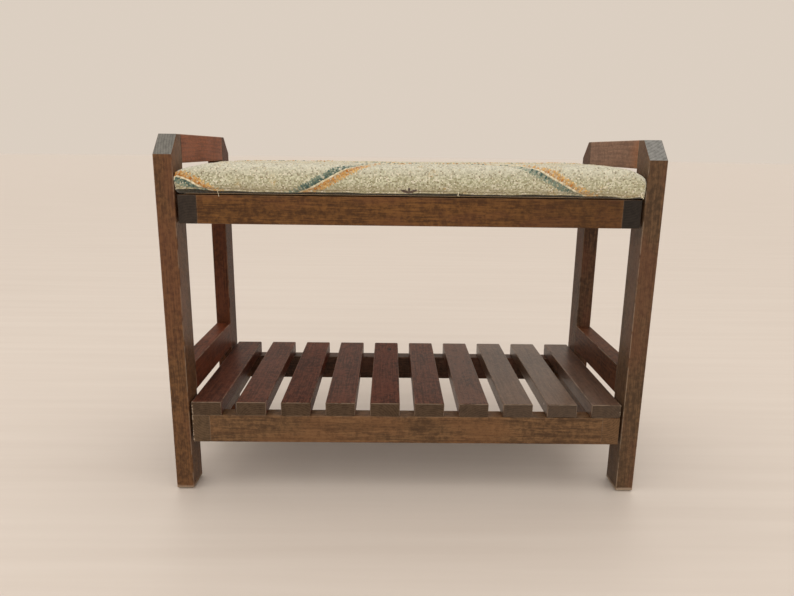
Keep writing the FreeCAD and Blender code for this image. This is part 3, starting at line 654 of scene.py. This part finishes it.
def cloth_point(tree):
    """(u, v) of the flat cloth in mm."""
    u, v, _ = Wire(tree).node("ShaderNodeUVMap", uv_map="flat_cloth").parts()
    return u, v


def front_v(height):
    """v on the upright part of the pad's front, at a height above the floor in mm."""
    return -(HALF_Y - BORDER + fall_to_roll) + (height - ROLL_Z)


# length of cloth from the edge of the top's grid down to the roll line, in the middle of the front
ROLL_RING = next(i for i, ring in enumerate(rings) if ring[0] == 0.0)
fall_to_roll, last_point = 0.0, (BORDER, crown(0, BORDER - HALF_Y))
for inset, height, _ in rings[:ROLL_RING + 1]:
    here = (inset, crown(0, inset - HALF_Y) if height is None else ROLL_Z)
    fall_to_roll += math.dist(here, last_point)
    last_point = here
END_SHORTER = 5.1  # mm by which this length is less at the two ends

# each family of bands: its slope on the flat cloth, and where it passes at the roll line of the front
FAMILIES = [(1.0, 196.3), (-1.0, -113.0)]
BAND_LENGTH = math.hypot(1, BAND_SLOPE)
COLUMN, ROW = 1.9, 1.7  # the weave's step across and along
CREAM_LOW, CREAM_HIGH = stain(145, 140, 102), stain(240, 240, 213)
TEAL, TEAL_PALE = stain(52, 84, 80), stain(136, 152, 134)
ORANGE, ORANGE_PALE = stain(178, 114, 48), stain(226, 188, 122)
HEM_FOLD = 427.0  # mm above the floor
SPRIG_X, SPRIG_Z = -2.6, 427.5
# UNDER_FROM and UNDER_FULL also say where the painted shade on the turned-under cloth starts and where it is
# full
UNDER_FROM, UNDER_FULL = 19.6, 21.2  # mm of cloth below the roll line at which it has turned under


def cover_finish():
    """Nubby cream weave with two-tone diagonal bands, feathered on their outer edges."""
    material, w, shader = new_finish("woven_cover")
    u, v = cloth_point(material.node_tree)
    flat = w.joined(u, v, 0.0)
    shake = flat.cloudy(0.35, 2.0, 0.6)
    sway = shake.other("Color").parts()
    nub = flat.node("ShaderNodeTexVoronoi", {
        "Vector": w.joined(u / COLUMN + (sway[0] - 0.5) * 0.8, v / ROW + (sway[1] - 0.5) * 0.8, 0.0),
        "Scale": 1.0, "Randomness": 0.55}, voronoi_dimensions="2D")
    own = nub.other("Color").parts()
    dome = 1.0 - nub * 1.15
    grid = abs((v / ROW).fract() - 0.5).rise(0.3, 0.5).most(abs((u / COLUMN).fract() - 0.5).rise(0.32, 0.5))
    yarn = flat.cloudy(1.7, 3.0, 0.7).rise(0.25, 0.75)
    wide = flat.cloudy(0.012, 3.0, 0.55)
    tone = w.blend((own[0] - 0.5) * 0.85 + (yarn - 0.5) * 0.9 + 0.5, CREAM_LOW, CREAM_HIGH)
    tone = tone.tint(wide.rise(0.35, 0.7) * 0.25, stain(204, 200, 172))
    # painted highlight: the cloth more than 14 mm back from the front and back roll lines is lightened; lower
    # down the front and back faces it goes darker and yellower
    drop = abs(v) + front_v(ROLL_Z)
    tone = tone.tint(drop.rise(-3.0, -14.0) * 0.42, stain(236, 236, 222))
    tone = tone.tint(drop.rise(2.0, 14.0) * 0.3, stain(178, 160, 112))
    faint = flat.cloudy(0.03, 2.0, 0.5)
    tone = tone.tint(faint.rise(0.56, 0.68) * own[1].rise(0.45, 0.8) * 0.5, stain(212, 176, 104))
    tone = tone.tint(faint.rise(0.44, 0.34) * own[2].rise(0.45, 0.8) * 0.45, stain(160, 164, 126))
    tone = tone.tint(own[1].rise(0.88, 0.91) * 0.8, stain(246, 241, 222))
    tone = tone.tint(own[2].rise(0.90, 0.94) * 0.6, stain(116, 100, 70))
    ridge = 0.0
    for slope, passes in FAMILIES:
        at = passes + slope * BAND_SLOPE * front_v(ROLL_Z)
        turn = ((u + v * (slope * BAND_SLOPE) - at) / BAND_REPEAT + 0.5).fract()
        across = (turn - 0.5) * (BAND_REPEAT / BAND_LENGTH)
        run = (u * BAND_SLOPE - v * slope) / BAND_LENGTH
        tooth = abs((run / BAND_STEP + (shake - 0.5) * 0.18).fract() - 0.5) * 2.0
        reach = 6.0 + (1.0 - tooth) * 5.4 + (shake - 0.5) * 3.0
        band = (abs(across) - reach).rise(0.7, -0.7)
        worn_off = flat.cloudy(0.03, 2.0, 0.5).rise(0.2, 0.5) * 0.35 + 0.65
        depth = abs(across).rise(11.0, 1.5) * 0.7 + (own[0] - 0.5) * 1.1
        gap = tooth.rise(0.58, 0.85) * abs(across).rise(2.5, 5.5)
        teal, orange = w.blend(depth, TEAL_PALE, TEAL), w.blend(depth, ORANGE_PALE, ORANGE)
        dyed = teal.tint(across.rise(-0.4, 0.4), orange)
        dyed = dyed.tint(abs(across).rise(1.3, 0.9), stain(226, 208, 168))
        at_edge = (abs(v).rise(HALF_Y - 20.0, HALF_Y - 6.0) * 0.65 + 0.35).most(abs(u).rise(262.0, 296.0))
        worn_off = worn_off * at_edge
        worn_off = worn_off * (u.rise(90.0, 160.0) * -0.22 + 1.0)
        band = band * worn_off * (1.0 - gap * 0.95) * (1.0 - own[1].rise(0.75, 0.8) * 0.6)
        tone = tone.tint(band, dyed)
        ridge = (band * (1.0 - gap)).most(ridge)
    # painted shade between the yarns of the weave
    tone = tone.tint(grid * 0.25, stain(122, 106, 76))
    # the small dark sprig at the lower edge of the front
    across, up = u - SPRIG_X, v - front_v(SPRIG_Z)
    arc = abs((across * across * 0.75 + (up - 6.0) * (up - 6.0)) ** 0.5 - 7.6)
    sprig = (arc + (yarn - 0.5) * 1.2).rise(2.9, 1.7) * (up + yarn).rise(4.4, 3.2)
    stem = (abs(across) + (yarn - 0.5)).rise(1.6, 0.9) * up.rise(6.6, 5.4) * up.rise(-2.5, -1.5)
    tone = tone.tint(sprig.most(stem) * 0.9, stain(66, 44, 46))
    # painted shade: a darker line along the crease behind the front roll, and along the hem's fold
    line = abs(v + (HALF_Y - 27.0) + (wide - 0.5) * 5.0).rise(2.2, 0.7)
    line = line * u.rise(-90.0, -40.0) * u.rise(235.0, 180.0)
    tone = tone.tint(line * 0.4, stain(166, 124, 96))
    below = abs(v) + front_v(HEM_FOLD)
    fold = below.rise(-0.5, 0.3) * below.rise(2.0, 1.0)
    tone = tone.tint(fold * wide.rise(0.40, 0.55) * 0.55, stain(140, 104, 62))
    # painted shade: the part turned under, where it lies on the frame, is tinted near black
    end_drop = abs(u) - (HALF_X - BORDER + fall_to_roll - END_SHORTER)
    under_shade = (drop.most(end_drop) + (wide - 0.5) * 1.5).rise(UNDER_FROM, UNDER_FULL)
    tone = tone.tint(under_shade * 0.93, stain(34, 26, 21))
    height = dome * 0.9 + yarn * 0.5 + ridge * 0.6 - grid * 0.3
    return coat(material, shader, tone, 0.88 + (yarn - 0.5) * 0.15, height, depth=0.0009, strength=0.8,
                Sheen_Weight=0.45, Sheen_Roughness=0.4, Specular_IOR_Level=0.2)


cover = cover_finish()
mesh.materials.append(cover)
smooth = pad.modifiers.new("smooth", "SUBSURF")
smooth.levels = smooth.render_levels = 1
pad_now = as_mesh(pad)
pad.modifiers.clear()
pad.data = pad_now


TEAL_DYE, ORANGE_DYE, CREAM_DYE = 0.0, 0.5, 1.0


def yarn_finish():
    """Loose-spun yarn of the strokes and nubs: teal, orange or cream by each one's own dye and depth."""
    material, w, shader = new_finish("raised_yarn")
    dye = w.node("ShaderNodeAttribute", out="Fac", attribute_name="dye")
    depth = w.node("ShaderNodeAttribute", out="Fac", attribute_name="depth")
    place = w.node("ShaderNodeTexCoord", out="Object")
    fibre = place.cloudy(1500.0, 2.0, 0.7).rise(0.25, 0.75)
    shade = depth + (fibre - 0.5) * 0.5
    teal = w.blend(shade, stain(140, 156, 138), stain(52, 86, 82))
    orange = w.blend(shade, stain(226, 190, 124), stain(182, 118, 50))
    cream = w.blend(shade, stain(232, 224, 196), stain(172, 158, 120))
    tone = teal.tint(dye.rise(0.25, 0.3), orange).tint(dye.rise(0.75, 0.8), cream)
    return coat(material, shader, tone, 0.85 + (fibre - 0.5) * 0.2, fibre, depth=0.0003, strength=0.6,
                Sheen_Weight=0.2, Sheen_Roughness=0.5, Specular_IOR_Level=0.2)


yarn_look = yarn_finish()


def geometry_tree(name, inputs):
    """(the tree, a wire to start from, {name: wire of each named input}, {name: its identifier})."""
    tree = bpy.data.node_groups.new(name, "GeometryNodeTree")
    tree.interface.new_socket("Geometry", in_out="OUTPUT", socket_type="NodeSocketGeometry")
    tree.interface.new_socket("Geometry", in_out="INPUT", socket_type="NodeSocketGeometry")
    for label, kind in inputs.items():
        tree.interface.new_socket(label, in_out="INPUT", socket_type=kind)
    start = tree.nodes.new("NodeGroupInput")
    keys = {item.name: item.identifier for item in tree.interface.items_tree if item.in_out == "INPUT"}
    return tree, Wire(tree), {label: Wire(tree, start.outputs[label]) for label in keys}, keys


def grown(piece_name, mesh, tree, keys, settings):
    """What the tree makes of a mesh, as a piece of its own."""
    base = bpy.data.objects.new(piece_name + "_base", mesh)
    modifier = base.modifiers.new("grown", "NODES")
    modifier.node_group = tree
    for label, value in settings.items():
        modifier[keys[label]] = value
    bpy.context.scene.collection.objects.link(base)
    made = as_mesh(base)
    base.modifiers.remove(modifier)
    bpy.data.objects.remove(base)
    made.name = piece_name
    made.polygons.foreach_set("use_smooth", [True] * len(made.polygons))
    return placed(piece_name, made)


def stroke_tree():
    """A short spun stroke laid at each point, along its lie and standing on its out direction."""
    tree, w, given, keys = geometry_tree("yarn_strokes", {
        "Length": "NodeSocketFloat", "Width": "NodeSocketFloat", "Height": "NodeSocketFloat",
        "Yarn": "NodeSocketMaterial"})
    bead = w.node("GeometryNodeMeshUVSphere", {"Segments": 6, "Rings": 5, "Radius": 0.5})
    # the sphere's poles are turned to lie along the stroke
    bead = w.node("GeometryNodeTransform", {"Geometry": bead, "Rotation": (0.0, math.pi / 2, 0.0)})
    lie, out = (w.node("GeometryNodeInputNamedAttribute", {"Name": name}, data_type="FLOAT_VECTOR")
                for name in ("lie", "out"))
    turn = w.node("FunctionNodeAxesToRotation", {"Primary Axis": lie, "Secondary Axis": out},
                  primary_axis="X", secondary_axis="Z")
    reach = w.node("GeometryNodeInputNamedAttribute", {"Name": "reach"}, data_type="FLOAT")
    size = w.joined(given["Length"] * reach, given["Width"], given["Height"])
    laid = w.node("GeometryNodeInstanceOnPoints", {
        "Points": given["Geometry"], "Instance": bead, "Rotation": turn, "Scale": size})
    laid = w.node("GeometryNodeRealizeInstances", {"Geometry": laid})
    laid = w.node("GeometryNodeSetMaterial", {"Geometry": laid, "Material": given["Yarn"]})
    w.node("NodeGroupOutput", {"Geometry": laid})
    return tree, keys


FULL_TURN = 6.283


def nub_tree():
    """Small knots of yarn strewn over the outer skin of the cover."""
    tree, w, given, keys = geometry_tree("cover_nubs", {
        "Density": "NodeSocketFloat", "Size": "NodeSocketFloat", "Seed": "NodeSocketInt",
        "Yarn": "NodeSocketMaterial"})
    outer = w.node("GeometryNodeInputNamedAttribute", {"Name": "outer"}, data_type="FLOAT")
    strewn = w.node("GeometryNodeDistributePointsOnFaces", {
        "Mesh": given["Geometry"], "Density": given["Density"] * outer.rise(0.5, 1.0), "Seed": given["Seed"]})
    tipped = strewn.other("Rotation")
    chance = lambda low, high, offset: w.node("FunctionNodeRandomValue", {
        "Min_001": low, "Max_001": high, "Seed": given["Seed"] + offset}, out=1, data_type="FLOAT")
    spun = w.node("FunctionNodeRotateRotation", {
        "Rotation": tipped, "Rotate By": w.node("FunctionNodeAxisAngleToRotation", {
            "Axis": (0.0, 0.0, 1.0), "Angle": chance(0.0, FULL_TURN, 1)})}, rotation_space="LOCAL")
    bead = w.node("GeometryNodeMeshUVSphere", {"Segments": 5, "Rings": 4, "Radius": 0.5})
    long = given["Size"] * chance(0.7, 1.9, 2)
    laid = w.node("GeometryNodeInstanceOnPoints", {
        "Points": strewn, "Instance": bead, "Rotation": spun,
        "Scale": w.joined(long, given["Size"] * chance(0.6, 1.0, 3), given["Size"] * 0.6)})
    for name, value in (("dye", CREAM_DYE), ("depth", chance(-0.1, 0.9, 4))):
        laid = w.node("GeometryNodeStoreNamedAttribute", {
            "Geometry": laid, "Name": name, "Value": value}, data_type="FLOAT", domain="INSTANCE")
    laid = w.node("GeometryNodeRealizeInstances", {"Geometry": laid})
    laid = w.node("GeometryNodeSetMaterial", {"Geometry": laid, "Material": given["Yarn"]})
    w.node("NodeGroupOutput", {"Geometry": laid})
    return tree, keys


CLOTH_GAP = 0.4  # mm that a place may lie off the cloth


def cloth_finder(mesh):
    """Gives a function that finds a place of the flat cloth, in mm, on the finished pad: the point, the
    matrix that turns a flat direction into one on the pad, and the way outwards."""
    outer = np.zeros(len(mesh.vertices), np.float32)
    mesh.attributes["outer"].data.foreach_get("value", outer)
    flat = np.zeros(len(mesh.loops) * 2, np.float32)
    mesh.uv_layers["flat_cloth"].data.foreach_get("uv", flat)
    flat = flat.reshape(-1, 2)
    solid = coordinates(mesh)
    polygons = [p for p in mesh.polygons if all(outer[v] > 0.5 for v in p.vertices)]
    verts, faces = [], []
    for p in polygons:
        faces.append(tuple(range(len(verts), len(verts) + len(p.loop_indices))))
        verts += [(*flat[i], 0.0) for i in p.loop_indices]
    tree = BVHTree.FromPolygons(verts, faces)

    def find(u, v):
        _, _, index, distance = tree.find_nearest((u, v, 0.0))
        if distance > CLOTH_GAP:
            return None
        p = polygons[index]
        f = np.array([verts[i][:2] for i in faces[index]])
        q = solid[list(p.vertices)]
        side = np.stack([f[1] - f[0], f[-1] - f[0]], 1)
        if abs(np.linalg.det(side)) < 1e-9:
            return None
        inverse = np.linalg.inv(side)
        span = np.stack([q[1] - q[0], q[-1] - q[0]], 1)
        share = inverse @ (np.array([u, v]) - f[0])
        return q[0] + span @ share, span @ inverse, np.array(p.normal)

    return find


# the strokes of one step: how far across the band, whether laid along it, dye, depth, length
STROKE_ROWS = [(-3.6, False, TEAL_DYE, 0.8, 1.0), (-7.6, False, TEAL_DYE, 0.35, 0.9),
               (3.6, False, ORANGE_DYE, 0.8, 1.0), (7.6, False, ORANGE_DYE, 0.35, 0.9),
               (0.0, True, CREAM_DYE, 0.25, 1.25)]
RUBBED_TOP, RUBBED_SIDES = 0.65, 0.06  # the share of strokes that is worn away


def strokes():
    """The raised strokes of the bands: two each side of the centre line at every step, and the cream line."""
    find = cloth_finder(pad.data)
    chance = np.random.default_rng(7)
    points, lies, outs, dyes, depths, reaches = [], [], [], [], [], []
    for slope, passes in FAMILIES:
        at = passes + slope * BAND_SLOPE * front_v(ROLL_Z)
        lie = np.array([BAND_SLOPE, -slope]) / BAND_LENGTH
        side = np.array([1.0, slope * BAND_SLOPE]) / BAND_LENGTH
        for repeat in range(-3, 4):
            # the point of this line nearest the cloth's middle
            home = side * (at + repeat * BAND_REPEAT) / BAND_LENGTH
            for step in range(-90, 91):
                for across, lengthways, dye, depth, reach in STROKE_ROWS:
                    slip = chance.uniform(-0.5, 0.5, 3)
                    aside = across + slip[1] * (across != 0)
                    spot = home + lie * (BAND_STEP * step + slip[0]) + side * aside
                    found = find(*spot) if abs(spot[0]) < 350 and abs(spot[1]) < 190 else None
                    on_top = abs(spot[0]) < 275 and abs(spot[1]) < HALF_Y - 10
                    if chance.uniform() < (RUBBED_TOP if on_top else RUBBED_SIDES) or found is None:
                        continue
                    point, frame_of, out = found
                    direction = frame_of @ ((lie if lengthways else side) + lie * 0.25 * slip[2])
                    points.append(point)
                    lies.append(direction / np.linalg.norm(direction))
                    outs.append(out)
                    dyes.append(dye)
                    depths.append(depth + chance.uniform(-0.35, 0.35) - 0.25 * (spot[0] > 120))
                    reaches.append(reach * chance.uniform(0.85, 1.15))
    dots = bpy.data.meshes.new("stroke_places")
    dots.from_pydata([tuple(p) for p in points], [], [])
    for name, values in (("lie", lies), ("out", outs)):
        attribute = dots.attributes.new(name, "FLOAT_VECTOR", "POINT")
        attribute.data.foreach_set("vector", np.array(values, np.float32).ravel())
    for name, values in (("dye", dyes), ("depth", depths), ("reach", reaches)):
        dots.attributes.new(name, "FLOAT", "POINT").data.foreach_set("value", np.array(values, np.float32))
    return grown("band_stitches", dots, *stroke_tree(),
                 {"Length": 4.8 * MM, "Width": 3.2 * MM, "Height": 2.0 * MM, "Yarn": yarn_look})


THREAD_RADIUS = 0.28 * MM
# where each tuft of loose ends starts, which way it pulls, and how many ends it has
TUFTS = [(-250.0, -141.4, 426.0, (3.0, -1.6, -7.5), 1), (299.0, -142.6, 428.5, (2.0, -1.8, -4.0), 8),
         (61.0, -142.2, 428.0, (0.5, -1.2, -4.0), 2), (24.5, -142.6, 430.5, (1.2, -1.0, 3.2), 3),
         (-255.0, 141.0, 427.0, (2.0, 1.5, -4.0), 2)]


def stray_threads():
    """A few ends of yarn that have worked loose along the lower edge."""
    chance = np.random.default_rng(11)
    curve = bpy.data.curves.new("stray_threads", "CURVE")
    curve.dimensions = "3D"
    curve.bevel_depth, curve.bevel_resolution, curve.resolution_u = THREAD_RADIUS, 1, 4
    for x, y, z, pull, count in TUFTS:
        for _ in range(count):
            wild = chance.uniform(-1, 1, 9) * (0.9 if count == 1 else 1.8)
            spline = curve.splines.new("BEZIER")
            spline.bezier_points.add(2)
            for k, point in enumerate(spline.bezier_points):
                share = k / 2
                point.co = [(c + p * share + wild[3 * k + i] * share) * MM
                            for i, (c, p) in enumerate(zip((x, y, z), pull))]
                point.handle_left_type = point.handle_right_type = "AUTO"
    curve.use_fill_caps = True
    line = placed("stray_threads_line", curve)
    made = as_mesh(line)
    bpy.data.objects.remove(line)
    made.materials.clear()
    made.materials.append(yarn_look)
    for name, value in (("dye", CREAM_DYE), ("depth", 0.0)):
        made.attributes.new(name, "FLOAT", "POINT").data.foreach_set("value", [value] * len(made.vertices))
    return placed("stray_threads", made)


stitches = strokes()
nubs = grown("cover_nubs", pad.data, *nub_tree(),
             {"Density": 19000.0, "Size": 1.5 * MM, "Seed": 5, "Yarn": yarn_look})
for piece in (stitches, nubs, stray_threads()):
    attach(piece, "root")
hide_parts("seat_foam", "seat_cover")
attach(pad, "root")


# ---------------------------------------------------------------- studio and camera


def floor_finish():
    """Plain pale floor with a hardly visible grain."""
    material, w, shader = new_finish("pale_floor")
    x, y, z = w.node("ShaderNodeTexCoord", out="Object").parts()
    grain = w.joined(x * 1.2, y * 26.0, z).cloudy(1.0, 3.0, 0.6)
    tone = w.blend(grain, stain(206, 197, 189), stain(221, 214, 207))
    return coat(material, shader, tone, 0.42 + (grain - 0.5) * 0.1, Specular_IOR_Level=0.35)


FLOOR_RADIUS = 40.0
bpy.ops.mesh.primitive_circle_add(vertices=96, radius=FLOOR_RADIUS, fill_type="NGON", location=(0, 0, 0))
floor = bpy.context.active_object
floor.name = "studio_floor"
floor.data.materials.append(floor_finish())

world = bpy.data.worlds.new("studio")
bpy.context.scene.world = world
world.use_nodes = True
backdrop = world.node_tree.nodes["Background"].inputs
backdrop["Color"].default_value = (*stain(245, 231, 216), 1.0)
backdrop["Strength"].default_value = 0.78

glow = bpy.data.lights.new("ceiling_glow", "SUN")
glow.energy, glow.angle, glow.color = 1.15, math.radians(110), (1.0, 0.985, 0.96)
placed("ceiling_glow", glow)

FILL_PLACE, FILL_AIM = Vector((-0.4, -3.0, 1.5)), Vector((0, 0, 0.25))
fill = bpy.data.lights.new("front_fill", "AREA")
fill.shape, fill.size, fill.size_y = "RECTANGLE", 2.4, 1.6
fill.energy, fill.color = 22, (1.0, 0.99, 0.97)
front_fill = placed("front_fill", fill)
front_fill.location = FILL_PLACE
front_fill.rotation_euler = (FILL_AIM - FILL_PLACE).to_track_quat("-Z", "Y").to_euler()

LENS, SENSOR = 28.302, 36.0  # mm
CAMERA_PLACE = (-0.02661, -0.95988, 0.48066)
TURN, DIP, ROLL = -0.7214, 13.3437, 0.7517  # degrees
view = bpy.data.cameras.new("camera")
view.lens, view.sensor_width = LENS, SENSOR
camera = placed("camera", view)
camera.matrix_world = (
    Matrix.Translation(CAMERA_PLACE)
    @ Matrix.Rotation(math.radians(TURN), 4, "Z")
    @ Matrix.Rotation(math.radians(90 - DIP), 4, "X")
    @ Matrix.Rotation(math.radians(ROLL), 4, "Z")
)
bpy.context.scene.camera = camera
bpy.context.scene.view_settings.view_transform = "Standard"
